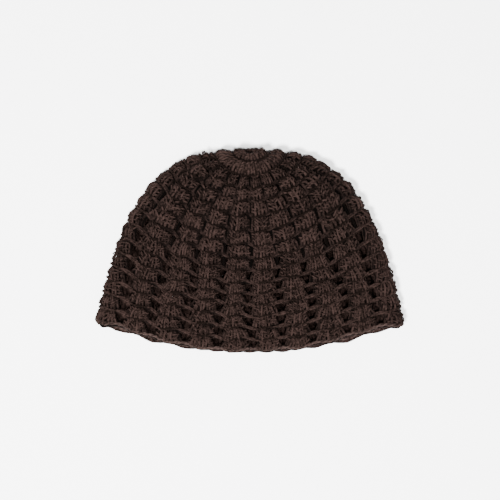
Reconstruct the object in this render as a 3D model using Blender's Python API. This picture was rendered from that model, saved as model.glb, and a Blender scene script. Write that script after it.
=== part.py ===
"""A crochet hat lying flat on its back layer, crown towards +Y, hem towards -Y, front layer up.

The hat is worked from the crown to the hem in rounds. A place on it is given by two numbers: the
round line it lies on, from 0 at the crown's centre to ROUNDS at the hem, and its column, from 0 at
the middle of the front. Columns grow towards +X, reach the right side fold at a quarter of the way
round, and the middle of the back at half the way. Whole columns are the gaps between two shells.
"""

import math
from collections import namedtuple

import bmesh
import bpy
from mathutils import Vector

# Driving sizes, in metres.
HAT_WIDTH = 0.270
HAT_LENGTH = 0.1772
HAT_THICKNESS = 0.037
WALL = 0.0048
SIDE_FOLD_RADIUS = 0.010
ROUND_SWELL = 0.0022
INNER_SWELL = 0.0007
BACK_HEM_PEEK = 0.0032
STARTING_RING_RADIUS = 0.0018
GAP_WIDTH = 0.0070
EDGING_DEPTH = 0.0030
JOINT_GAP = 0.0004

# The pattern: how many rounds of each stitch, and how many shells go round.
PLAIN_ROUNDS = 2
ROUNDS = 16
COLUMNS = 19
PIERCED_FROM_ROUND = 11

# Places within a round, as shares of its depth: a gap's straight top and its tip, and where the
# stitches stand out most, so that each round overhangs the next like a shingle.
GAP_TOP_SHARE = 0.20
GAP_TIP_SHARE = 0.80
SWELL_PEAK_SHARE = 0.70

# Mesh detail: vertices to a column near the crown and from the round where the shells are wide.
CROWN_STEPS = 2
SHELL_STEPS = 4
WIDE_FROM_ROUND = 4
NORMAL_STEP = 0.02
# How full the front layer is across: 1 is a plain arch, and less is flatter with steeper sides.
FRONT_FULLNESS = 0.7
SHARP_ANGLE = math.radians(50)

# Every value is a share: half_width of the hat's half width, fold_radius of SIDE_FOLD_RADIUS, and
# front, back and side of HAT_LENGTH, from the top fold down to where the round crosses the middle
# of the front, the middle of the back and the side fold. The heights are shares of the thickness
# between the walls' middles. Roundness bends a round from a ring, 0.5, to an open bow, 1.
Line = namedtuple(
    "Line",
    "round half_width fold_radius front back side front_height back_height side_height roundness",
)
ROUND_LINES = [
    Line(0, 0.00, 0.00, 0.021, 0.021, 0.021, 0.58, 0.58, 0.58, 0.60),
    Line(1, 0.12, 1.00, 0.066, 0.024, 0.021, 0.82, 0.26, 0.50, 0.60),
    Line(2, 0.235, 1.50, 0.135, 0.065, 0.024, 0.93, 0.04, 0.41, 0.65),
    Line(3, 0.335, 1.60, 0.196, 0.130, 0.038, 0.98, 0.00, 0.36, 0.70),
    Line(4, 0.430, 1.50, 0.258, 0.196, 0.063, 1.00, 0.00, 0.33, 0.80),
    Line(6, 0.612, 1.20, 0.405, 0.330, 0.155, 0.98, 0.00, 0.29, 1.00),
    Line(8, 0.745, 1.10, 0.537, 0.464, 0.285, 0.92, 0.00, 0.27, 1.00),
    Line(10, 0.838, 1.00, 0.657, 0.599, 0.427, 0.84, 0.00, 0.26, 1.00),
    Line(12, 0.907, 0.95, 0.766, 0.734, 0.567, 0.75, 0.00, 0.24, 1.00),
    Line(14, 0.960, 0.90, 0.880, 0.868, 0.703, 0.66, 0.00, 0.23, 1.00),
    Line(16, 1.000, 0.85, 1.000, 1.003, 0.834, 0.57, 0.00, 0.21, 1.00),
]

# Yarn colours, linear, with roughness: one for each piece, all from the same dark brown wool.
YARN_FINISH = {
    "crown_centre": ((0.036, 0.021, 0.017, 1.0), 0.92),
    "shell_body": ((0.031, 0.018, 0.014, 1.0), 0.92),
    "hem_edge": ((0.042, 0.025, 0.020, 1.0), 0.92),
}

QUARTER = COLUMNS / 4
LAYER_SPACE = HAT_THICKNESS - WALL
HALF_WIDTH = HAT_WIDTH / 2 - WALL / 2


def clear_scene():
    for obj in list(bpy.data.objects):
        bpy.data.objects.remove(obj, do_unlink=True)


def row_slope(index, field):
    """How fast one column of ROUND_LINES changes at one of its rows, for each round."""
    before = ROUND_LINES[max(index - 1, 0)]
    after = ROUND_LINES[min(index + 1, len(ROUND_LINES) - 1)]
    return (after[field] - before[field]) / (after.round - before.round)


def line_at(position):
    """The row of ROUND_LINES at any place between the crown's centre and the hem, on smooth curves."""
    index = max(i for i, row in enumerate(ROUND_LINES[:-1]) if row.round <= position)
    above, below = ROUND_LINES[index], ROUND_LINES[index + 1]
    span = below.round - above.round
    t = (position - above.round) / span
    values = []
    for field in range(len(Line._fields)):
        start = row_slope(index, field) * span
        end = row_slope(index + 1, field) * span
        value = above[field] * (2 * t**3 - 3 * t**2 + 1) + below[field] * (3 * t**2 - 2 * t**3)
        values.append(value + start * (t**3 - 2 * t**2 + t) + end * (t**3 - t**2))
    return Line(*values)


def cross_section(line):
    """(half width, side fold radius, length from the middle of a layer to the side fold) of a round."""
    half_width = HALF_WIDTH * line.half_width
    radius = min(SIDE_FOLD_RADIUS * line.fold_radius, half_width)
    return half_width, radius, half_width - radius + radius * math.pi / 2


def hem_wave(edge):
    """0 at the middle of the back and at the side fold, and 1 in between, where the back hem peeks out."""
    return 4 * edge**2 * (1 - edge**2)


def wall_middle(position, column):
    """The point halfway through the wall at a round position and a column."""
    line = line_at(position)
    half_width, radius, reach = cross_section(line)
    turn = (column + 2 * QUARTER) % COLUMNS - 2 * QUARTER
    on_front = abs(turn) <= QUARTER
    share = abs(turn) / QUARTER if on_front else 2 - abs(turn) / QUARTER
    flat = half_width - radius
    out, rise = share * reach, 1.0
    if out > flat:
        bend = (out - flat) / radius
        out, rise = flat + radius * math.sin(bend), math.cos(bend)
    edge = out / half_width
    inside = max(0.0, 1 - edge**2)
    middle = line.front if on_front else line.back
    down = HAT_LENGTH * (line.side + (middle - line.side) * inside**line.roundness)
    fold_height = LAYER_SPACE * (line.side_height - line.back_height)
    height = LAYER_SPACE * line.side_height
    if on_front:
        crown = LAYER_SPACE * (line.front_height - line.side_height) - fold_height
        height += fold_height * rise + crown * inside**FRONT_FULLNESS
    else:
        height -= fold_height * rise
        down += BACK_HEM_PEEK * hem_wave(edge) * (position / ROUNDS) ** 3
    return Vector((math.copysign(out, turn), -down, WALL / 2 + height))


def outward(position, column):
    """The wall's outward direction, from points a little way off along the round and the column."""
    near, far = position - NORMAL_STEP, min(position + NORMAL_STEP, ROUNDS)
    along = wall_middle(far, column) - wall_middle(near, column)
    across = wall_middle(position, column + NORMAL_STEP) - wall_middle(position, column - NORMAL_STEP)
    return along.cross(across).normalized()


def swell(position, column):
    """How much the stitches stand out, from 0 at the round lines to 1 at the fullest place of a shell."""
    share = position % 1
    toward_peak = min(share / SWELL_PEAK_SHARE, (1 - share) / (1 - SWELL_PEAK_SHARE))
    along_round = math.sin(math.pi / 2 * toward_peak)
    across_shell = math.sin(math.pi * column) ** 2 if position > PLAIN_ROUNDS else 1.0
    return along_round * (1 + across_shell) / 2


def skin_point(position, column, side):
    """A point of the outer skin, side +1, or of the inner one, side -1. The floor flattens the outer."""
    height = ROUND_SWELL if side > 0 else INNER_SWELL
    offset = WALL / 2 + height * swell(position, column)
    point = wall_middle(position, column) + outward(position, column) * offset * side
    if side > 0:
        point.z = max(point.z, 0.0)
    return point


def ring(position, steps):
    """The places of one ring of vertices, with this many to a column."""
    return [(position, i / steps) for i in range(COLUMNS * steps)]


def band(upper, lower):
    """Faces between two rings, also where the lower one has more vertices."""
    faces = []
    count_up, count_low = len(upper), len(lower)
    low = 0
    for i in range(count_up):
        last = (i + 1) * count_low // count_up
        middle = (low + last) // 2
        while low < middle:
            faces.append([upper[i], lower[low], lower[(low + 1) % count_low]])
            low += 1
        next_up = upper[(i + 1) % count_up]
        if last > low:
            faces.append([upper[i], lower[low], lower[(low + 1) % count_low], next_up])
            low += 1
        while low < last:
            faces.append([next_up, lower[low], lower[(low + 1) % count_low]])
            low += 1
    return faces


def plain_rings(start, end, steps):
    """Rings at start, at each round line and each round's fullest place between, and at end."""
    lines = range(math.floor(start), math.ceil(end))
    places = [line + share for line in lines for share in (0, SWELL_PEAK_SHARE)]
    inner = [place for place in places if start < place < end]
    return [ring(position, steps) for position in [start, *inner, end]]


def pierced_band(top, bottom):
    """Faces of one shell round whose gaps are cut through, a three-cornered gap on each whole column."""
    faces = []
    depth = bottom - top
    middle = top + SWELL_PEAK_SHARE * depth
    side = 1 / SHELL_STEPS
    straight = top + GAP_TOP_SHARE * depth
    tip = top + GAP_TIP_SHARE * depth
    pitch = cross_section(line_at(straight))[2] / QUARTER
    half_gap = GAP_WIDTH / 2 / pitch
    for column in range(COLUMNS):
        left, right = column - side, column + side
        gap_left, gap_right = (straight, column - half_gap), (straight, column + half_gap)
        gap_tip = (tip, column)
        above, below = (top, column), (bottom, column)
        faces += [
            [(top, left), (middle, left), gap_left, above],
            [above, gap_left, gap_right],
            [above, gap_right, (middle, right), (top, right)],
            [(middle, left), (bottom, left), gap_tip, gap_left],
            [gap_right, gap_tip, (bottom, right), (middle, right)],
            [(bottom, left), below, gap_tip],
            [gap_tip, below, (bottom, right)],
        ]
        for upper, lower in ((top, middle), (middle, bottom)):
            for step in range(1, SHELL_STEPS - 1):
                near, far = column + step * side, column + (step + 1) * side
                faces.append([(upper, near), (lower, near), (lower, far), (upper, far)])
    return faces


def thick_piece(name, faces):
    """One closed body: the faces on both skins, joined by walls along every free edge.

    The walls' diagonals all run the same way round, so that the rims of two pieces stay parallel.
    """
    mesh = bpy.data.meshes.new(name)
    shape = bmesh.new()
    skins = {}

    def vertex(place, side):
        position, column = place
        key = (round(position, 6), round(column % COLUMNS, 6) % COLUMNS, side)
        if key not in skins:
            skins[key] = shape.verts.new(skin_point(position, column, side))
        return skins[key]

    for face in faces:
        shape.faces.new([vertex(place, 1) for place in face])
        shape.faces.new([vertex(place, -1) for place in reversed(face)])
    place_of = {vert: key for key, vert in skins.items()}
    for edge in [edge for edge in shape.edges if edge.is_boundary]:
        start, end = sorted(place_of[vert] for vert in edge.verts)
        if start[2] > 0:
            inner_start, inner_end = skins[start[:2] + (-1,)], skins[end[:2] + (-1,)]
            shape.faces.new([skins[start], skins[end], inner_end])
            shape.faces.new([skins[start], inner_end, inner_start])
    bmesh.ops.recalc_face_normals(shape, faces=shape.faces)
    shape.to_mesh(mesh)
    shape.free()
    mesh.shade_smooth()
    mesh.set_sharp_from_angle(angle=SHARP_ANGLE)
    obj = bpy.data.objects.new(name, mesh)
    bpy.context.scene.collection.objects.link(obj)
    obj.data.materials.append(yarn_material(name))
    return obj


def yarn_material(name):
    colour, roughness = YARN_FINISH[name]
    material = bpy.data.materials.new(name + "_yarn")
    material.use_nodes = True
    shader = material.node_tree.nodes["Principled BSDF"]
    shader.inputs["Base Color"].default_value = colour
    shader.inputs["Roughness"].default_value = roughness
    shader.inputs["Metallic"].default_value = 0.0
    return material


def round_depth(position):
    """How deep a round is at the middle of the front, where the rounds lie closest."""
    shares = line_at(position).front - line_at(position - 1).front
    return HAT_LENGTH * shares


def crown_centre():
    """The plain rounds, from the small starting ring to the first shells."""
    start = STARTING_RING_RADIUS / (HALF_WIDTH * line_at(1).half_width)
    end = PLAIN_ROUNDS - JOINT_GAP / 2 / round_depth(PLAIN_ROUNDS)
    rings = plain_rings(start, end, CROWN_STEPS)
    faces = [face for upper, lower in zip(rings, rings[1:]) for face in band(upper, lower)]
    return thick_piece("crown_centre", faces)


def edging_line():
    """The round position where the last shells end and the edging starts."""
    return ROUNDS - EDGING_DEPTH / round_depth(ROUNDS)


def shell_body():
    """The rounds of shells, plain near the crown and pierced lower down."""
    start = PLAIN_ROUNDS + JOINT_GAP / 2 / round_depth(PLAIN_ROUNDS)
    end = edging_line() - JOINT_GAP / 2 / round_depth(ROUNDS)
    first_pierced = PIERCED_FROM_ROUND - 1
    rings = plain_rings(start, WIDE_FROM_ROUND, CROWN_STEPS)
    rings += plain_rings(WIDE_FROM_ROUND, first_pierced, SHELL_STEPS)[1:]
    faces = [face for upper, lower in zip(rings, rings[1:]) for face in band(upper, lower)]
    for top in range(first_pierced, ROUNDS):
        faces += pierced_band(top, min(top + 1, end))
    return thick_piece("shell_body", faces)


def hem_edge():
    """The plain edging round along the rim."""
    start = edging_line() + JOINT_GAP / 2 / round_depth(ROUNDS)
    faces = band(ring(start, SHELL_STEPS), ring(ROUNDS, SHELL_STEPS))
    return thick_piece("hem_edge", faces)


def centre_on_floor(pieces):
    """Moves the meshes so that the middle of the hat's footprint lies on the origin."""
    across = [v.co.x for obj in pieces for v in obj.data.vertices]
    along = [v.co.y for obj in pieces for v in obj.data.vertices]
    middle = Vector(((min(across) + max(across)) / 2, (min(along) + max(along)) / 2, 0.0))
    for obj in pieces:
        for v in obj.data.vertices:
            v.co -= middle


clear_scene()
centre_on_floor([crown_centre(), shell_body(), hem_edge()])
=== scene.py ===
# %% [markdown]
# # A crochet hat, laid flat
# This lesson dresses a plain model of a hat as the real thing: a soft hat crocheted from dark brown
# yarn. The plain model is a thick wall with the right outline. A crochet hat has no wall at all, only
# one long yarn that is looped into stitches, so every stitch is made here as tubes of yarn that lie
# where the wall was.

# %% Load the plain model
import math

import bpy
import numpy as np
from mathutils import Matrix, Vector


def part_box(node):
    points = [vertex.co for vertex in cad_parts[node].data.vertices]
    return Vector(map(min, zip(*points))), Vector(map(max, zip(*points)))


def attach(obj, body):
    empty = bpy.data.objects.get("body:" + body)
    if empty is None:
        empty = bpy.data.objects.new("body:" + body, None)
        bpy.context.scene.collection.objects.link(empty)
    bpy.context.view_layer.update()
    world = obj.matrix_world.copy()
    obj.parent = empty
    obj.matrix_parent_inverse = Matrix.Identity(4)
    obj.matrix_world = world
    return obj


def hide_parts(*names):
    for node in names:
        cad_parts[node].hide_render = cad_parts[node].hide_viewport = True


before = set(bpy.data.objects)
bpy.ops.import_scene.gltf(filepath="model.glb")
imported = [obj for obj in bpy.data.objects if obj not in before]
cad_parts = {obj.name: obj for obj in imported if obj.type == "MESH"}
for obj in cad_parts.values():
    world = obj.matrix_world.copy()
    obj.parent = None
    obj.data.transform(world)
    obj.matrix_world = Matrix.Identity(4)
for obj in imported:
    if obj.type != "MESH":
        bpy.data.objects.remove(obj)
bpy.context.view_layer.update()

MM = 0.001
rng = np.random.default_rng(7)

# %% [markdown]
# ## The camera, the floor and the light
# The hat lies flat and is seen from straight above, so the camera hangs over its middle and looks
# down. A long lens far away keeps the far edge as large as the near one. The strongest lamp stands
# off beyond the hem's left corner and gives the stitches their shading. A smaller one hangs nearly
# overhead and lights the yarn inside the gaps, a weak one lifts the right side, and the pale world
# fills in from all round. The wider a lamp is, the softer the edge of its shadow.

# %% Camera, floor and light
CAMERA_HEIGHT, LENS_MM, SEES_TO = 1.062, 85, 20
FLOOR_HALF, FLOOR_WHITE, FLOOR_ROUGHNESS = 3.0, 0.98, 0.9
WORLD_STRENGTH = 0.68
# Each lamp's place and width in metres, and its power in watts.
LAMPS = {
    "wide_lamp": ((-0.45, -0.45, 1.7), 0.35, 165),
    "overhead_lamp": ((0.06, -0.17, 1.9), 0.12, 62),
    "side_lamp": ((1.0, -0.6, 1.4), 1.0, 10),
}


def hang_camera():
    lens = bpy.data.cameras.new("overhead_camera")
    lens.lens, lens.clip_end = LENS_MM, SEES_TO
    camera = bpy.data.objects.new("overhead_camera", lens)
    camera.location = (0, 0, CAMERA_HEIGHT)
    bpy.context.scene.collection.objects.link(camera)
    bpy.context.scene.camera = camera


def hang_lamp(name, place, size, watts):
    lamp = bpy.data.lights.new(name, "AREA")
    lamp.shape, lamp.size, lamp.energy = "DISK", size, watts
    holder = bpy.data.objects.new(name, lamp)
    holder.location = place
    holder.rotation_euler = (-holder.location).to_track_quat("-Z", "Y").to_euler()
    bpy.context.scene.collection.objects.link(holder)


def lay_floor():
    half = FLOOR_HALF
    corners = [(-half, -half, 0), (half, -half, 0), (half, half, 0), (-half, half, 0)]
    mesh = bpy.data.meshes.new("pale_floor")
    mesh.from_pydata(corners, [], [(0, 1, 2, 3)])
    floor = bpy.data.objects.new("pale_floor", mesh)
    paint = bpy.data.materials.new("pale_floor")
    paint.use_nodes = True
    shader = paint.node_tree.nodes["Principled BSDF"]
    shader.inputs["Base Color"].default_value = (FLOOR_WHITE, FLOOR_WHITE, FLOOR_WHITE, 1)
    shader.inputs["Roughness"].default_value = FLOOR_ROUGHNESS
    mesh.materials.append(paint)
    bpy.context.scene.collection.objects.link(floor)


hang_camera()
for name, (place, size, watts) in LAMPS.items():
    hang_lamp(name, place, size, watts)
lay_floor()
world = bpy.data.worlds.new("pale_room")
world.use_nodes = True
world.node_tree.nodes["Background"].inputs["Color"].default_value = (1, 1, 1, 1)
world.node_tree.nodes["Background"].inputs["Strength"].default_value = WORLD_STRENGTH
bpy.context.scene.world = world
print("camera", CAMERA_HEIGHT, "m above the floor,", len(LAMPS), "lamps")

# %% [markdown]
# ## The shape that the stitches follow
# A crochet hat is worked in rounds from the crown to the hem. Two numbers give any place on it: the
# round line, 0 at the crown and 16 at the hem, and the column, 0 at the middle of the front and 19
# once round. A table gives each round's width, folds and heights, and smooth curves join its rows.
# A third number is the height over the middle of the wall, so a stitch is written once as a small
# path of round, column and height, and it bends over the hat wherever it is put.

# %% Places on the hat
HAT_WIDTH, HAT_LENGTH, HAT_THICKNESS = 0.270, 0.1772, 0.037
WALL, SIDE_FOLD_RADIUS, BACK_HEM_PEEK = 0.0048, 0.010, 0.0032
ROUND_SWELL, INNER_SWELL, SWELL_PEAK = 0.0022, 0.0007, 0.70
PLAIN_ROUNDS, ROUNDS, COLUMNS, FRONT_FULLNESS = 2, 16, 19, 0.7
QUARTER = COLUMNS / 4
LAYER_SPACE = HAT_THICKNESS - WALL
HALF_WIDTH = (HAT_WIDTH - WALL) / 2

FIELDS = "round half_width fold_radius front back side front_height back_height side_height roundness"
ROUND_LINES = np.array([
    (0, 0.00, 0.00, 0.021, 0.021, 0.021, 0.58, 0.58, 0.58, 0.60),
    (1, 0.12, 1.00, 0.066, 0.024, 0.021, 0.82, 0.26, 0.50, 0.60),
    (2, 0.235, 1.50, 0.135, 0.065, 0.024, 0.93, 0.04, 0.41, 0.65),
    (3, 0.335, 1.60, 0.196, 0.130, 0.038, 0.98, 0.00, 0.36, 0.70),
    (4, 0.430, 1.50, 0.258, 0.196, 0.063, 1.00, 0.00, 0.33, 0.80),
    (6, 0.612, 1.20, 0.405, 0.330, 0.155, 0.98, 0.00, 0.29, 1.00),
    (8, 0.745, 1.10, 0.537, 0.464, 0.285, 0.92, 0.00, 0.27, 1.00),
    (10, 0.838, 1.00, 0.657, 0.599, 0.427, 0.84, 0.00, 0.26, 1.00),
    (12, 0.907, 0.95, 0.766, 0.734, 0.567, 0.75, 0.00, 0.24, 1.00),
    (14, 0.960, 0.90, 0.880, 0.868, 0.703, 0.66, 0.00, 0.23, 1.00),
    (16, 1.000, 0.85, 1.000, 1.003, 0.834, 0.57, 0.00, 0.21, 1.00),
])
LAST = len(ROUND_LINES) - 1
ROW_BEFORE = ROUND_LINES[np.maximum(np.arange(LAST + 1) - 1, 0)]
ROW_AFTER = ROUND_LINES[np.minimum(np.arange(LAST + 1) + 1, LAST)]
ROW_SLOPES = (ROW_AFTER - ROW_BEFORE) / (ROW_AFTER - ROW_BEFORE)[:, :1]


def turn_from_front(column):
    """Columns from the middle of the front, negative on the left half of the hat."""
    return (column + 2 * QUARTER) % COLUMNS - 2 * QUARTER


def line_at(position):
    """Every column of ROUND_LINES at these round positions, by name."""
    index = np.clip(np.searchsorted(ROUND_LINES[:, 0], position, side="right") - 1, 0, LAST - 1)
    above, below = ROUND_LINES[index], ROUND_LINES[index + 1]
    span = (below - above)[..., :1]
    t = (position[..., None] - above[..., :1]) / span
    values = above * (2 * t**3 - 3 * t**2 + 1) + below * (3 * t**2 - 2 * t**3)
    values += ROW_SLOPES[index] * span * (t**3 - 2 * t**2 + t)
    values += ROW_SLOPES[index + 1] * span * (t**3 - t**2)
    return dict(zip(FIELDS.split(), np.moveaxis(values, -1, 0)))


print("rows in the table of rounds:", len(ROUND_LINES))

# %% [markdown]
# ## From round and column to a point
# At each round the wall runs flat across the front, bends round the side fold and comes back along
# the table. The direction that points out of the wall is square to both ways along it.

# %% The wall's middle
def wall_middle(position, column):
    """The point halfway through the wall at each round position and column."""
    line = line_at(position)
    half_width = HALF_WIDTH * line["half_width"]
    radius = np.minimum(SIDE_FOLD_RADIUS * line["fold_radius"], half_width)
    reach = half_width - radius + radius * math.pi / 2
    turn = turn_from_front(column)
    on_front = np.abs(turn) <= QUARTER
    share = np.where(on_front, np.abs(turn) / QUARTER, 2 - np.abs(turn) / QUARTER)
    flat = half_width - radius
    bend = np.maximum(share * reach - flat, 0) / radius
    out = np.minimum(share * reach, flat) + radius * np.sin(bend)
    rise = np.cos(bend)
    edge = out / half_width
    inside = np.maximum(1 - edge**2, 0)
    middle = np.where(on_front, line["front"], line["back"])
    down = HAT_LENGTH * (line["side"] + (middle - line["side"]) * inside ** line["roundness"])
    peek = BACK_HEM_PEEK * 4 * edge**2 * (1 - edge**2) * (position / ROUNDS) ** 3
    down = down + np.where(on_front, 0, peek)
    fold_height = LAYER_SPACE * (line["side_height"] - line["back_height"])
    crown = LAYER_SPACE * (line["front_height"] - line["side_height"]) - fold_height
    front = fold_height * rise + crown * inside**FRONT_FULLNESS
    height = LAYER_SPACE * line["side_height"] + np.where(on_front, front, -fold_height * rise)
    return np.stack([np.copysign(out, turn), -down, WALL / 2 + height], -1)


def surface(position, column):
    """(point, outward direction) of the wall's middle, also a little way past the hem."""
    step, crown_tip = 0.02, 0.1
    near = np.clip(position, crown_tip, ROUNDS - step)
    point = wall_middle(near, column)
    along = (wall_middle(near + step, column) - wall_middle(near - step, column)) / (2 * step)
    across = wall_middle(near, column + step) - wall_middle(near, column - step)
    outward = np.cross(along, across)
    outward /= np.linalg.norm(outward, axis=-1, keepdims=True)
    return point + along * (position - near)[..., None], outward


def hem_middle():
    """How far the plain model was moved to centre it: its hem's lowest edge tells."""
    columns = np.arange(COLUMNS * 4) / 4
    middle, outward = surface(np.full(len(columns), float(ROUNDS)), columns)
    lowest = min((middle + side * outward * WALL / 2)[:, 1].min() for side in (-1, 1))
    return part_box("hem_edge")[0][1] - lowest


MOVED = hem_middle()
print("moved towards the crown by", round(MOVED / MM, 1), "mm")

# %% [markdown]
# ## Where the strands lie
# The hem of a soft hat sags at its two corners and waves a little below each shell, so the last
# rounds are moved lower there. Between two round lines the fabric swells, and most strands lie just
# under the skin of that swell.

# %% Sag, width and skin
# How far the corners sag and the scallops hang, in rounds, and the round where each begins.
CORNER_SAG, CORNER_REACH, SAG_FROM = 0.60, 0.57, 12.5
SCALLOP, SCALLOP_FROM = 0.09, 14.5
STRAND_SINK = 1.3


def hem_sag(position, column):
    """How far the last rounds hang lower, in rounds: at the two corners, and below each shell."""
    from_fold = np.abs(turn_from_front(column)) - QUARTER
    corner = CORNER_SAG * np.exp(-((from_fold / CORNER_REACH) ** 2))
    corner = corner * np.clip((position - SAG_FROM) / (ROUNDS - SAG_FROM), 0, 1) ** 2
    scallop = -SCALLOP * np.cos(2 * np.pi * column)
    return corner + scallop * np.clip((position - SCALLOP_FROM) / (ROUNDS - SCALLOP_FROM), 0, 1) ** 2


def on_the_hat(places):
    """(points in metres, outward directions) of places: round line, column, millimetres outward."""
    position, column = places[..., 0], places[..., 1]
    point, outward = surface(position + hem_sag(position, column), column)
    point = point + outward * places[..., 2:] * MM
    point[..., 1] += MOVED
    return point, outward


def column_width(position):
    """How wide a column is at this round, in millimetres."""
    line = line_at(np.array(float(position)))
    half_width = HALF_WIDTH * line["half_width"]
    radius = min(SIDE_FOLD_RADIUS * line["fold_radius"], half_width)
    return (half_width - radius + radius * math.pi / 2) / QUARTER / MM


def skin_height(position, column, side):
    """Millimetres from the wall's middle to the centre of a strand that lies just under the skin."""
    share = position % 1
    toward_peak = np.minimum(share / SWELL_PEAK, (1 - share) / (1 - SWELL_PEAK))
    across = np.where(position > PLAIN_ROUNDS, np.sin(np.pi * column) ** 2, 1.0)
    swell = np.sin(np.pi / 2 * toward_peak) * (1 + across) / 2
    height = WALL / 2 + np.where(side > 0, ROUND_SWELL, INNER_SWELL) * swell
    return side * (height / MM - STRAND_SINK)


print("column widths, millimetres:", [round(column_width(r), 1) for r in range(2, ROUNDS + 1)])

# %% [markdown]
# ## Yarn
# Yarn is a soft round cord. Blender can bevel a curve into one, but a hat has thousands of strands,
# and thousands of curve objects are slow. So the strands of one piece become one mesh, from arrays:
# each strand is a row of points, a small ring of corners is set square to it at every point, and the
# rings are joined by faces. The rings are carried along without twisting. Where the hat rests on the
# floor, the yarn is pressed flat, as soft wool is. Yarn is never quite even, so each ring is a little
# wider or narrower than the last.

# %% Strands of yarn
YARN_SIDES = 6
LUMPS = 0.20
# How near the floor a strand's middle may come, in shares of its radius, and its skin, in metres.
PRESSED, FLOOR_GAP = 0.7, 0.05 * MM
# A strand that starts steeper than this takes its sideways direction from X instead of from up.
STEEP = 0.7


def smooth(paths, per_span):
    """Smooth curves through the points of many paths at once, (paths, points, 3)."""
    first, last = 2 * paths[:, :1] - paths[:, 1:2], 2 * paths[:, -1:] - paths[:, -2:-1]
    p = np.concatenate([first, paths, last], 1)[:, :, None]
    a, b, c, d = p[:, :-3], p[:, 1:-2], p[:, 2:-1], p[:, 3:]
    t = np.arange(per_span)[None, None, :, None] / per_span
    curve = b + t * (c - a) / 2 + t**2 * (2 * a - 5 * b + 4 * c - d) / 2
    curve = curve + t**3 * (3 * b - a - 3 * c + d) / 2
    return np.concatenate([curve.reshape(len(paths), -1, 3), paths[:, -1:]], 1)


def unit(vectors):
    return vectors / np.maximum(np.linalg.norm(vectors, axis=-1, keepdims=True), 1e-12)


def yarn_rings(centres, radius):
    """Rings of corners round every point of every strand: (strands, points, sides, 3)."""
    centres = centres.copy()
    centres[..., 2] = np.maximum(centres[..., 2], PRESSED * radius)
    along = unit(np.gradient(centres, axis=1))
    helper = np.where(np.abs(along[:, 0, 2:]) < STEEP, [[0, 0, 1.0]], [[1.0, 0, 0]])
    side = unit(np.cross(along[:, 0], helper))
    sides = [side]
    for i in range(1, centres.shape[1]):
        side = unit(side - along[:, i] * np.sum(side * along[:, i], -1, keepdims=True))
        sides.append(side)
    side = np.stack(sides, 1)
    other = np.cross(along, side)
    angles = 2 * np.pi * np.arange(YARN_SIDES) / YARN_SIDES
    rings = np.cos(angles)[:, None] * side[:, :, None] + np.sin(angles)[:, None] * other[:, :, None]
    rings = centres[:, :, None] + rings * radius[..., None, None]
    rings[..., 2] = np.maximum(rings[..., 2], FLOOR_GAP)
    return rings


print("yarn has", YARN_SIDES, "sides")

# %% [markdown]
# ## From strands to a mesh
# A piece gathers its strands and then builds one mesh from them. The mesh also keeps what the yarn's
# colour needs: how far round and along a strand each corner is, its strand's tone with any painted
# shade, and how far it lies over or under the fabric's skin. The ends of a strand are thinner than
# the rest, and painted darker, a painted shade, because they are tucked under others.

# %% A piece of yarn
# A strand's ends are thinner, and painted shade darkens them over a short stretch, because they are
# tucked under others.
END_TAPER, END_SHADE, TUCK_POWER = 0.45, 0.7, 8
# Each strand's plies start at their own place, up to this many turns along.
PLY_START = 9


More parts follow.
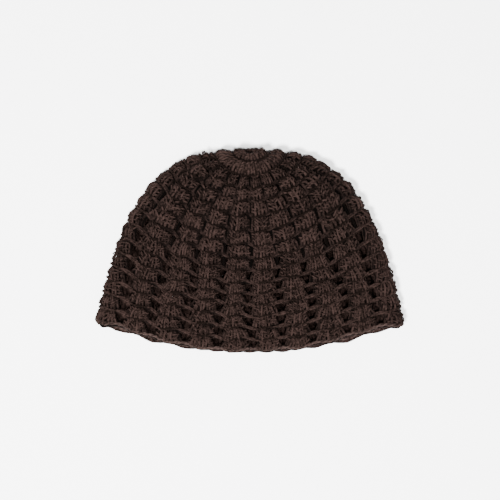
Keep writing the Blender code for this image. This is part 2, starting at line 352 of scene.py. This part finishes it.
class Piece:
    """Gathers strands and turns them into one mesh."""

    def __init__(self, name):
        self.name, self.groups = name, []

    def add(self, places, radius_mm, per_span=2, closed=False, shade=None):
        """places: (strands, points, 3) as round, column, height. A closed strand meets its start."""
        places = np.asarray(places, float)
        if not closed:
            places = smooth(places, per_span)
        points, outward = on_the_hat(places)
        radius = np.broadcast_to(np.asarray(radius_mm, float) * MM, points.shape[:2]).copy()
        radius *= rng.uniform(1 - LUMPS, 1 + LUMPS, radius.shape)
        if not closed:
            radius[:, [0, -1]] *= END_TAPER
        # How far the strand lies over its skin, which sets the painted shade of deep yarn.
        side = np.where(places[..., 2] < 0, -1, 1)
        skin = side * skin_height(places[..., 0], places[..., 1], side)
        over_skin = np.abs(places[..., 2]) - skin
        self.groups.append((points, radius, outward * side[..., None], over_skin, closed, shade))

    def build(self, material, slot, *replaced):
        corners, quads, caps, uvs, shades, depths = [], [], [], [], [], []
        start = 0
        for points, radius, outward, over_skin, closed, shade in self.groups:
            count, length = points.shape[:2]
            rings = yarn_rings(points, radius)
            lift = np.sum((rings - points[:, :, None]) * outward[:, :, None], -1) / MM
            depths.append((lift + over_skin[..., None]).ravel())
            index = np.arange(count * length * YARN_SIDES).reshape(count, length, YARN_SIDES) + start
            ahead = np.roll(index, -1, axis=1) if closed else index[:, 1:]
            behind = index if closed else index[:, :-1]
            turned = np.roll(behind, -1, 2), np.roll(ahead, -1, 2)
            quads.append(np.stack([behind, turned[0], turned[1], ahead], -1).reshape(-1, 4))
            steps = np.linalg.norm(np.diff(points, axis=1, append=points[:, :1]), axis=-1)
            travel = np.concatenate([np.zeros((count, 1)), np.cumsum(steps, 1)], 1)
            travel = travel / (2 * np.pi * radius[:, :1]) + rng.random((count, 1)) * PLY_START
            spans = ahead.shape[1]
            low, high = travel[:, :spans, None], travel[:, 1:spans + 1, None]
            left = np.arange(YARN_SIDES) / YARN_SIDES
            right = left + 1 / YARN_SIDES
            corner_uvs = []
            for pair in ((left, low), (right, low), (right, high), (left, high)):
                pair = [np.broadcast_to(value, (count, spans, YARN_SIDES)) for value in pair]
                corner_uvs.append(np.stack(pair, -1))
            uvs.append(np.stack(corner_uvs, -2).reshape(-1, 2))
            if not closed:
                caps += [index[:, 0, ::-1], index[:, -1]]
            corners.append(rings.reshape(-1, 3))
            # A strand with no given tone gets a random one, and an open strand also gets painted shade
            # at its tucked ends.
            if shade is None:
                tucked = 0 if closed else np.abs(np.linspace(-1, 1, length)) ** TUCK_POWER
                shade = rng.random((count, 1)) - END_SHADE * tucked
            shades.append(np.repeat(np.broadcast_to(shade, (count, length)), YARN_SIDES))
            start += count * length * YARN_SIDES
        corners, quads = np.concatenate(corners), np.concatenate(quads)
        caps = np.concatenate(caps) if caps else np.zeros((0, YARN_SIDES), int)
        uvs = np.concatenate(uvs + [np.zeros((caps.size, 2))])
        # Each corner keeps its strand's tone with its painted shade, and how deep it lies, for the
        # painted shade of deep yarn.
        looks = {"tone_and_painted_shade": np.concatenate(shades), "proud_mm": np.concatenate(depths)}
        obj = mesh_from_arrays(self.name, corners, quads, caps, uvs, looks)
        obj.data.materials.append(material)
        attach(obj, "root")
        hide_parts(*replaced)
        triangles = 2 * len(quads) + (YARN_SIDES - 2) * len(caps)
        print(self.name, "strands:", sum(len(g[0]) for g in self.groups), "triangles:", triangles)


def mesh_from_arrays(name, corners, quads, caps, uvs, looks):
    mesh = bpy.data.meshes.new(name)
    mesh.vertices.add(len(corners))
    mesh.vertices.foreach_set("co", corners.astype(np.float32).ravel())
    loops = np.concatenate([quads.ravel(), caps.ravel()])
    totals = np.concatenate([np.full(len(quads), 4), np.full(len(caps), YARN_SIDES)])
    mesh.loops.add(len(loops))
    mesh.loops.foreach_set("vertex_index", loops.astype(np.int32))
    mesh.polygons.add(len(totals))
    mesh.polygons.foreach_set("loop_start", (np.cumsum(totals) - totals).astype(np.int32))
    mesh.polygons.foreach_set("loop_total", totals.astype(np.int32))
    mesh.uv_layers.new(name="yarn").data.foreach_set("uv", uvs.astype(np.float32).ravel())
    for look, values in looks.items():
        mesh.attributes.new(look, "FLOAT", "POINT").data.foreach_set("value", values.astype(np.float32))
    mesh.update(calc_edges=True)
    mesh.shade_smooth()
    obj = bpy.data.objects.new(name, mesh)
    bpy.context.scene.collection.objects.link(obj)
    return obj


print("from ring to ring a strand takes", 2 * YARN_SIDES, "triangles")

# %% [markdown]
# ## The yarn's finish
# Wool yarn is matt, because its fibres scatter light, and its edge glows a little, because fibres
# stand out from it. The material is a rough base with a weak sheen. Its plies are twisted round each
# other, and here they are a bump: a wave that runs askew round the strand. Each strand has its own
# tone, with painted shade added in the seams and at its tucked ends, and fine noise gives the darker
# and lighter fibres of heather yarn. Little light reaches the yarn deep in the fabric, so it is also
# painted darker the further it lies under the skin: a painted shade.

# %% Yarn materials
PLIES, PLY_TWIST, PLY_RELIEF = 3, 0.55, 0.5
RELIEF_STRENGTH, RELIEF_DEPTH = 0.5, 0.0005
FIBRE_SCALE, FIBRE_DETAIL = 450, 4
# How much the strand's own tone with its painted shade, the plies and the fibres count in the tone, from
# dark to pale.
STRAND_SHARE, PLY_SHARE, FIBRE_SHARE, FIBRE_SHIFT = 0.5, 0.12, 2.2, -0.6
DARK_UNTIL = 0.3
# Painted shade: yarn this far under the skin keeps only this share of its colour, and yarn this far over
# it all.
DEEP_MM, DEEP_SHADE, PROUD_MM = -1.3, 0.10, 1.4
FINISH = {
    "Roughness": 0.9,
    "Specular IOR Level": 0.02,
    "Sheen Weight": 0.015,
    "Sheen Roughness": 0.5,
    "Sheen Tint": (0.60, 0.38, 0.31, 1),
}


def yarn_material(name, dark, pale):
    material = bpy.data.materials.new(name)
    material.use_nodes = True
    nodes, links = material.node_tree.nodes, material.node_tree.links
    shader = nodes["Principled BSDF"]
    for socket, value in FINISH.items():
        shader.inputs[socket].default_value = value

    def math_node(operation, first, second):
        node = nodes.new("ShaderNodeMath")
        node.operation = operation
        for socket, value in zip(node.inputs, (first, second)):
            if isinstance(value, (int, float)):
                socket.default_value = value
            else:
                links.new(value, socket)
        return node.outputs[0]

    def attribute(look):
        node = nodes.new("ShaderNodeAttribute")
        node.attribute_name = look
        return node.outputs["Fac"]

    place = nodes.new("ShaderNodeUVMap")
    place.uv_map = "yarn"
    split = nodes.new("ShaderNodeSeparateXYZ")
    links.new(place.outputs["UV"], split.inputs[0])
    around, along = split.outputs["X"], split.outputs["Y"]
    plies_round = math_node("MULTIPLY", around, PLIES)
    turn = math_node("ADD", plies_round, math_node("MULTIPLY", along, PLIES * PLY_TWIST))
    ply = math_node("SINE", math_node("MULTIPLY", turn, 2 * math.pi), 0)
    fibre = nodes.new("ShaderNodeTexNoise")
    fibre.inputs["Scale"].default_value = FIBRE_SCALE
    fibre.inputs["Detail"].default_value = FIBRE_DETAIL
    coords = nodes.new("ShaderNodeTexCoord")
    links.new(coords.outputs["Object"], fibre.inputs["Vector"])
    relief = math_node("ADD", math_node("MULTIPLY", ply, PLY_RELIEF), fibre.outputs["Fac"])
    bump = nodes.new("ShaderNodeBump")
    bump.inputs["Strength"].default_value = RELIEF_STRENGTH
    bump.inputs["Distance"].default_value = RELIEF_DEPTH
    links.new(relief, bump.inputs["Height"])
    links.new(bump.outputs["Normal"], shader.inputs["Normal"])

    # Painted shade: the deeper the yarn lies under the skin, the more its colour is darkened.
    proud = nodes.new("ShaderNodeMapRange")
    limits = {"From Min": DEEP_MM, "From Max": PROUD_MM, "To Min": DEEP_SHADE, "To Max": 1.0}
    for socket, value in limits.items():
        proud.inputs[socket].default_value = value
    links.new(attribute("proud_mm"), proud.inputs["Value"])
    own_shade = math_node("MULTIPLY", attribute("tone_and_painted_shade"), STRAND_SHARE)
    tone = math_node("ADD", own_shade, math_node("MULTIPLY", ply, PLY_SHARE))
    mottle = math_node("MULTIPLY", fibre.outputs["Fac"], FIBRE_SHARE)
    tone = math_node("ADD", tone, math_node("ADD", mottle, FIBRE_SHIFT))
    ramp = nodes.new("ShaderNodeValToRGB")
    ends = ramp.color_ramp.elements
    ends[0].position, ends[0].color = DARK_UNTIL, (*dark, 1)
    ends[1].position, ends[1].color = 1.0, (*pale, 1)
    links.new(tone, ramp.inputs["Fac"])
    shade = nodes.new("ShaderNodeMix")
    shade.data_type, shade.blend_type = "RGBA", "MULTIPLY"
    shade.inputs["Factor"].default_value = 1
    links.new(ramp.outputs["Color"], shade.inputs["A"])
    links.new(proud.outputs["Result"], shade.inputs["B"])
    links.new(shade.outputs["Result"], shader.inputs["Base Color"])
    return material


body_yarn = yarn_material("body_yarn", (0.0022, 0.0012, 0.0009), (0.0163, 0.0096, 0.0082))
crown_yarn = yarn_material("crown_yarn", (0.0024, 0.0013, 0.0010), (0.0170, 0.0100, 0.0085))
# The hem's yarn is paler: a painted highlight where the edge catches the light.
edge_yarn = yarn_material("edge_yarn", (0.006, 0.0036, 0.0030), (0.029, 0.0187, 0.0163))
print("three yarn finishes")

# %% [markdown]
# ## The chain along each round
# The tops of a round's stitches form a chain of small loops along its lower edge. Seen from outside,
# the chain is two strands that cross again and again, with one long crossing where the chain bridges
# the gap between two shells. So each round gets two closed strands that wind round each other,
# slowly over the gaps and fast between them. In a hand-made hat the bridges lean one way or the
# other, and each column keeps its lean from round to round. Over a shell the strands lie close
# together and are painted dark, a painted shadow between two rounds, and in the lower rounds the
# painted shade is darkest over the shell's middle. At the side folds they stand prouder, so that the
# outline stays even, and there they get no painted shade.

# %% Chains
CHAIN_RADIUS, CHAIN_SPREAD, CHAIN_DEPTH = 0.86, 0.75, 0.7
CHAIN_STEPS, CROSSINGS, SLOWING = 20, 4, 0.8
# SEAM_SHADE and OVER_SHELL_SHADE are painted shade, for the shadow between two rounds.
SEAM_HEIGHT, SEAM_SHADE, SEAM_GAIN = 2.2, -1.4, 1.6
SEAM_NARROWING, SEAM_THINNING, OVER_SHELL_SHADE = 0.9, 0.12, 0.55
FOLD_LIFT, FOLD_REACH, FOLD_SWELL = 1.0, 0.6, 0.3
# From this round on, a thicker dot of yarn marks the place over a shell's middle, where the painted
# shade is darkest.
DOTS_FROM = 9
DARK_REACH, DOT_REACH, DOT_SWELL, DOT_LIFT, DOT_RISE = 0.13, 0.075, 0.55, 0.7, 0.6
BRIDGE_RISE, BRIDGE_SHADE, BRIDGE_SWING = 0.06, 0.5, 0.8
BRIDGE_LEAN = np.array([0.20, -0.07, -0.06, -0.08, 0.0, 0.08, -0.10, 0.05, 0.12, -0.06,
                        0.10, -0.05, 0.07, -0.08, 0.0, 0.05, 0.20, 0.13, 0.18])
# How far hand work wanders, down in rounds and across in columns, and what sets the two apart.
DOWN_WANDER, ACROSS_WANDER, ACROSS_PHASE = 0.08, 0.10, 5


def leaning(column):
    """How far the bridges lean, in rounds. Each gap column has its own lean, one way or the other."""
    lean = np.interp(column % COLUMNS, np.arange(COLUMNS + 1), np.append(BRIDGE_LEAN, BRIDGE_LEAN[0]))
    return BRIDGE_SWING * lean * np.sin(2 * np.pi * column)


def wander(position, column, amount):
    """Slow unevenness of hand work, the same for all that lies near."""
    turn = 2 * np.pi * column / COLUMNS
    waves = np.sin(3 * turn + 0.9 * position + 1.3) + np.sin(5 * turn - 0.7 * position + 4.0)
    waves += np.sin(8 * turn + 0.5 * position + 2.2) + 0.8 * np.sin(2 * turn - 1.7 * position)
    return amount * waves / 4


def round_depth(line):
    """Millimetres from one round line to the next, at the middle of the front."""
    shares = line_at(np.array([line - 1.0, float(line)]))["front"]
    return HAT_LENGTH * (shares[1] - shares[0]) / MM


def round_chain(piece, line, bridge_height):
    """Two closed strands that wind round each other along a round line."""
    column = np.arange(COLUMNS * CHAIN_STEPS) / CHAIN_STEPS
    share = column % 1
    slowed = share - SLOWING * np.sin(2 * np.pi * share) / (2 * np.pi)
    turns = np.floor(column) * CROSSINGS + CROSSINGS * slowed
    seam = np.clip(SEAM_GAIN * (1 - np.cos(2 * np.pi * share)) / 2, 0, 1)
    has_dots = line >= DOTS_FROM
    at_dot = np.exp(-(((share - 0.5) / DOT_REACH) ** 2)) * has_dots
    # Where the painted shade falls: at the shell's middle in the lower rounds, over the whole shell
    # above them.
    dark = np.exp(-(((share - 0.5) / DARK_REACH) ** 2)) if has_dots else seam
    at_fold = np.exp(-(((np.abs(turn_from_front(column)) - QUARTER) / FOLD_REACH) ** 2))
    strands = []
    for strand in (0, 1):
        phase = np.pi * (turns + strand)
        aside = CHAIN_SPREAD * np.cos(phase) * (1 - SEAM_NARROWING * seam) - DOT_RISE * at_dot
        position = line - BRIDGE_RISE * (1 - seam) + aside / round_depth(line) + leaning(column)
        position = position + wander(line, column, DOWN_WANDER)
        moved = column + wander(line + ACROSS_PHASE, column, ACROSS_WANDER)
        height = bridge_height + (SEAM_HEIGHT - bridge_height) * seam
        height = height + CHAIN_DEPTH * np.sin(phase) * (1 - seam / 2)
        height = height + FOLD_LIFT * at_fold + DOT_LIFT * at_dot
        strands.append(np.stack([position, moved, height], -1))
    radius = CHAIN_RADIUS * (1 - SEAM_THINNING * seam + FOLD_SWELL * at_fold + DOT_SWELL * at_dot)
    # A fixed tone, darkened by painted shade over the shells, except at the side folds.
    shade = BRIDGE_SHADE + (SEAM_SHADE * dark - OVER_SHELL_SHADE * seam) * (1 - at_fold)
    piece.add(np.array(strands), radius, closed=True, shade=shade)


def closed_strand(piece, position, column, height, radius, shade=None):
    """One strand that runs all the way round the hat and joins its own start."""
    places = np.stack(np.broadcast_arrays(position, column, height), -1)
    piece.add(places[None], radius, closed=True, shade=shade)


print("round depths, millimetres:", [round(round_depth(r), 1) for r in range(1, ROUNDS + 1)])

# %% [markdown]
# ## A shell
# A shell is four trebles worked into one small space of the shell above, so it fans out a little
# below a dark dimple. A treble shows as legs of yarn side by side, with short strands that wrap
# askew across them. Each leg below starts deep, under the chain above, stands out most in the middle
# and is tucked under the round's own chain, so that every round overhangs the next. Cores lie deep
# between the legs and fill the shell, and the back strands show inside the hat. The places are
# shares of the column's width and of the round's depth. Near the crown the columns are narrow, so
# the shells have fewer legs, and the gaps between shells are slits. The right half of a shell
# mirrors the left half, and each shell sits a little off its place, as hand work does.

# %% Paths of a shell
DOWN = np.array([-0.06, 0.03, 0.14, 0.48, 0.87, 1.00])
LEG_HEIGHT = np.array([-3.2, -1.3, 0.4, 0.8, 0.6, -1.6])
CORE_HEIGHT = np.array([-3.8, -3.2, -2.7, -2.5, -2.6, -3.2])
BACK_HEIGHT = np.array([-1.0, 0.2, 0.2, 0.2, 0.0, -0.6])
# The leg in a shell's middle starts this much deeper, in the dimple, and its neighbours half of it.
DIMPLE = np.array([-0.8, -2.0, -1.3, 0.0, 0.0, 0.0])
# A wrap's points: shares of the way from leg to leg, shares of the round's depth, height.
WRAP = np.array([(-0.70, 0.32, -1.1), (-0.32, 0.27, 1.0), (0.32, 0.17, 1.05), (0.60, 0.11, -1.1)])
BOW_PLACES = (0.05, 0.5, 0.95)
SHELL_SHIFT = rng.normal(0, 1, (ROUNDS + 1, COLUMNS, 1, 3)) * (0.016, 0.045, 0.25)
STRAND_JITTER, PLACE_JITTER = (0.008, 0.02, 0.45), (0.012, 0.02, 0.38)
# The skin is measured this little inside the round, because it swells anew from each round line.
INSIDE = 0.001


def across(reach):
    """Shares across at each place of DOWN, on a smooth bow through three places."""
    return np.polyval(np.polyfit(BOW_PLACES, reach, 2), DOWN)


def set_shells(line, path, side, loose=1):
    """Copies of one path in every shell of a round, with hand unevenness: (shells, points, 3)."""
    centres = np.arange(COLUMNS) + 0.5
    jitter = rng.normal(0, 1, (COLUMNS, 1, 3)) * np.multiply(STRAND_JITTER, (loose, loose, 1))
    jitter = jitter + rng.normal(0, 1, (COLUMNS, *path.shape)) * np.multiply(PLACE_JITTER, (loose, 1, 1))
    moved = path + jitter + SHELL_SHIFT[line]
    column = centres[:, None] + moved[..., 0]
    down = moved[..., 1]
    position = line - 1 + down + np.clip(down, 0, 1) ** 2 * leaning(column)
    position = position + wander(line - 1 + down, column, DOWN_WANDER)
    skin = skin_height(line - 1 + np.clip(down, INSIDE, 1 - INSIDE), column, side)
    column = column + wander(line + ACROSS_PHASE + down, column, ACROSS_WANDER)
    return np.stack([position, column, skin + side * moved[..., 2]], -1)


def wrap_strand(first, second, lowered):
    """A short strand from under one leg, over it and the next, and down behind that."""
    middle, reach = (first[3] + second[3]) / 2, second[3] - first[3]
    return WRAP * (reach, 1, 1) + (middle, lowered, 0)


print("points on a leg:", len(DOWN), "and on a wrap:", len(WRAP))

# %% [markdown]
# ## One round of shells
# In the upper rounds the shells stand close, so a core painted dark, as painted shade, lies in each
# slit between them, and their outer legs are shorter, which rounds the corners. Further down the gaps
# open. Behind those of the back layer lie two deep strands, so that the floor doesn't shine through
# both layers.

# %% A round of shells
# Up to one round the shells stand close, and from the other on their gaps are fully open.
CLOSE_UNTIL, OPEN_FROM = 6, 12
# A shell's outermost leg ends this many millimetres from the column's edge, at slits and at gaps.
# At its top, middle and bottom it lies this much nearer the shell's middle, in shares of the column.
SLIT_MM, GAP_MM = 1.2, 1.8
SLIT_TAPER, GAP_TAPER = np.array([0.035, 0.005, 0.0]), np.array([0.20, 0.105, 0.03])
# Legs on each side of the one in the shell's middle.
LEGS_FROM_ROUND = {3: 2, 6: 3, 9: 4}
LEG_FULLNESS, LEG_RADII = 0.43, (0.8, 1.2)
# The outermost legs lie this much deeper, so a shell is round like a pillow.
PILLOW = 1.7
CORNER_ROUNDING, HEM_TUCK = 0.18, 0.93
CORE_POINTS, CORE_FULLNESS, CORE_LOOSE = [0, 2, 4, 5], 1.65, 0.5
WRAP_FULLNESS, WRAP_LOOSE, WRAP_LOWS, WRAP_DRIFT = 0.68, 2, (0.0, 0.22, 0.44), 0.07
BACK_RADIUS, BACK_SPREAD = 1.9, (0.2, 0.9)
SLIT_RADIUS, SLITS_BEFORE = 1.3, 10
BEHIND_RADIUS, BEHIND_ASIDE, BEHIND_SINK = 2.0, 0.07, 0.8
ON_BACK = np.abs(turn_from_front(np.arange(COLUMNS) + 1)) > QUARTER
# How high the chain stands over the gaps, at these rounds and in between.
BRIDGE_LINES, BRIDGE_HEIGHTS = (3, 9, 13), (0.6, 0.9, 2.0)
BAR_STEPS, BAR_DROP, BAR_HEIGHT, BAR_RADIUS = 8, 0.04, -1.4, 1.5


def shell_round(piece, line):
    legs = LEGS_FROM_ROUND[max(first for first in LEGS_FROM_ROUND if first <= line)]
    open_share = np.clip((line - CLOSE_UNTIL) / (OPEN_FROM - CLOSE_UNTIL), 0, 1)
    taper = SLIT_TAPER + (GAP_TAPER - SLIT_TAPER) * open_share
    edge_mm = SLIT_MM + (GAP_MM - SLIT_MM) * open_share
    width = column_width(line - 0.5)
    reach = 0.5 - edge_mm / width - taper
    tuck = HEM_TUCK if line == ROUNDS else 1.0
    shares = [across(reach * i / legs) for i in range(legs + 1)]
    radius = float(np.clip(LEG_FULLNESS * reach[1] / legs * width, *LEG_RADII))
    middle_leg = np.column_stack([0 * DOWN, DOWN * tuck, LEG_HEIGHT + DIMPLE])
    piece.add(set_shells(line, middle_leg, 1), radius)
    for mirror in (-1, 1):
        for i, leg in enumerate(shares[1:], 1):
            height = LEG_HEIGHT + (DIMPLE / 2 if i == 1 else 0) - PILLOW * (i / legs) ** 2
            rounding = CORNER_ROUNDING * (1 - open_share) * (i / legs) ** 3
            down = 0.5 + (DOWN * tuck - 0.5) * (1 - rounding)
            piece.add(set_shells(line, np.column_stack([mirror * leg, down, height]), 1), radius)
        for first, second in zip(shares, shares[1:]):
            between = mirror * (first + second) / 2
            core = np.column_stack([between, DOWN, CORE_HEIGHT])[CORE_POINTS]
            core = set_shells(line, core, 1, loose=CORE_LOOSE)
            piece.add(core, radius * CORE_FULLNESS, per_span=1)
            for low in WRAP_LOWS:
                lowered = low + rng.uniform(-WRAP_DRIFT, WRAP_DRIFT)
                wrap = wrap_strand(first, second, lowered) * (mirror, 1, 1)
                wrap = set_shells(line, wrap, 1, loose=WRAP_LOOSE)
                piece.add(wrap, radius * WRAP_FULLNESS, per_span=1)
        for near in np.linspace(*BACK_SPREAD, (legs + 1) // 2):
            back = np.column_stack([mirror * near * shares[-1], DOWN, BACK_HEIGHT])
            piece.add(set_shells(line, back, -1), BACK_RADIUS, per_span=1)
    close_gaps(piece, line)
    if line < ROUNDS:
        round_chain(piece, line, np.interp(line, BRIDGE_LINES, BRIDGE_HEIGHTS))
    column = np.arange(COLUMNS * BAR_STEPS) / BAR_STEPS
    bar = line + BAR_DROP + wander(line, column, DOWN_WANDER)
    closed_strand(piece, bar, column, BAR_HEIGHT, BAR_RADIUS)


def close_gaps(piece, line):
    """The cores in a round's slits, painted dark as painted shade, or the strands behind its gaps."""
    if line < SLITS_BEFORE:
        slit = np.column_stack([0.5 + 0 * DOWN, DOWN, CORE_HEIGHT])
        piece.add(set_shells(line, slit, 1), SLIT_RADIUS, per_span=1, shade=SEAM_SHADE)
        return
    for aside in (-BEHIND_ASIDE, BEHIND_ASIDE):
        behind = np.column_stack([0.5 + aside + 0 * DOWN, DOWN, CORE_HEIGHT - BEHIND_SINK])
        piece.add(set_shells(line, behind, 1)[ON_BACK], BEHIND_RADIUS, per_span=1)


print("legs in a shell, by first round:", {line: 2 * n + 1 for line, n in LEGS_FROM_ROUND.items()})

# %% [markdown]
# ## The body: fourteen rounds of shells
# The rounds are gathered into five meshes, so that none grows too heavy.

# %% Shell rounds
for first, last in ((3, 6), (7, 9), (10, 12), (13, 14), (15, 16)):
    piece = Piece(f"shell_rounds_{first}_to_{last}")
    for line in range(first, last + 1):
        shell_round(piece, line)
    piece.build(body_yarn, "body_yarn", "shell_body")

# %% [markdown]
# ## The crown
# The crown starts as a small ring of yarn. The first round is fourteen plain trebles worked into that
# ring, and the second has two trebles in each of them, all lying side by side like spokes.

# %% Crown rounds
CROWN_POSTS = {1: 14, 2: 28}
CROWN_START = 0.22
SPOKE_DOWN = np.array([0.00, 0.12, 0.28, 0.50, 0.74, 0.90, 1.0])
SPOKE_HEIGHT = np.array([-3.0, -1.0, 0.2, 0.5, 0.4, -0.7, -2.6])
# The strands of a treble: steps aside, outer or inner side, radius, how far sunk.
SPOKES = ((-0.25, 1, 1.1, 0.0), (0.25, 1, 1.1, 0.0), (0, -1, 1.3, 0.0), (0.5, 1, 1.2, 1.3))
SPOKE_JITTER, SPOKE_LIFT, SPOKE_WAVE = 0.03, 0.3, 0.15
CROWN_WRAP = np.array([(-0.40, 0.10, -0.8), (-0.22, 0.06, 1.2), (0.22, -0.06, 1.3), (0.40, -0.10, -0.8)])
CROWN_WRAP_LOWS, CROWN_WRAP_DRIFT, CROWN_WRAP_LIFT = (0.22, 0.44, 0.66), 0.09, 0.2
CROWN_THIN, CROWN_THICK, CROWN_DROP = 0.75, 1.2, 0.02


def crown_round(piece, line, posts):
    """Trebles side by side round the crown, with short strands across them."""
    step = COLUMNS / posts
    middles = np.arange(posts)[:, None] + 0.5
    top = CROWN_START if line == 1 else line - 1
    down = top + SPOKE_DOWN * (line - top)
    for aside, side, radius, sunk in SPOKES:
        column = (middles + aside) * step + 0 * down
        column = column + rng.normal(0, SPOKE_JITTER * step, column.shape)
        skin = skin_height(np.clip(down, line - 1 + INSIDE, line - INSIDE), 0, side)
        height = skin + side * SPOKE_HEIGHT - sunk + rng.normal(0, SPOKE_LIFT, (posts, 1))
        height = height + rng.normal(0, SPOKE_WAVE, column.shape)
        piece.add(np.stack([np.broadcast_to(down, column.shape), column, height], -1), radius)
    for low in CROWN_WRAP_LOWS:
        column = (middles + CROWN_WRAP[:, 0]) * step
        lowered = low + CROWN_WRAP[:, 1] + rng.normal(0, CROWN_WRAP_DRIFT, (posts, 1))
        position = top + lowered * (line - top)
        height = skin_height(position, 0, 1) + CROWN_WRAP[:, 2]
        height = height + rng.normal(0, CROWN_WRAP_LIFT, (posts, 1))
        piece.add(np.stack([position, column, height], -1), CROWN_THIN)


crown = Piece("crown_rounds")
for line, posts in CROWN_POSTS.items():
    crown_round(crown, line, posts)
half_columns = np.arange(COLUMNS * 2) / 2
# Thin rings along the crown's round lines, painted dark as painted shade between the rounds.
for line in CROWN_POSTS:
    closed_strand(crown, line + CROWN_DROP, half_columns, SEAM_HEIGHT, CROWN_THIN, SEAM_SHADE)
for position, height in ((CROWN_START, 0.8), (CROWN_START + CROWN_DROP, -1.2)):
    closed_strand(crown, position, half_columns, height, CROWN_THICK)
crown.build(crown_yarn, "crown_yarn", "crown_centre")

# %% [markdown]
# ## The edging
# One round of small loops finishes the rim. Its yarn is painted a touch paler, a painted highlight
# where the yarn's edge catches the light, and it waves a little where the shells above push it out.

# %% Hem edging
EDGING_STEPS, EDGING_CROSSINGS, EDGING_RISE, EDGING_WANDER = 30, 5, 0.10, 0.10
EDGING_SPREAD, EDGING_HEIGHT, EDGING_DEPTH, EDGING_RADIUS = 0.7, 1.9, 0.6, 0.9
INNER_HEIGHT, INNER_RADIUS = -1.2, 1.5

edging = Piece("hem_edging")
column = np.arange(COLUMNS * EDGING_STEPS) / EDGING_STEPS
rim = ROUNDS - EDGING_RISE + wander(ROUNDS, column, EDGING_WANDER)
for strand in (0, 1):
    phase = np.pi * (EDGING_CROSSINGS * column + strand)
    position = rim + EDGING_SPREAD * np.cos(phase) / round_depth(ROUNDS)
    height = EDGING_HEIGHT + EDGING_DEPTH * np.sin(phase)
    closed_strand(edging, position, column, height, EDGING_RADIUS)
closed_strand(edging, rim, column, INNER_HEIGHT, INNER_RADIUS)
edging.build(edge_yarn, "edge_yarn", "hem_edge")
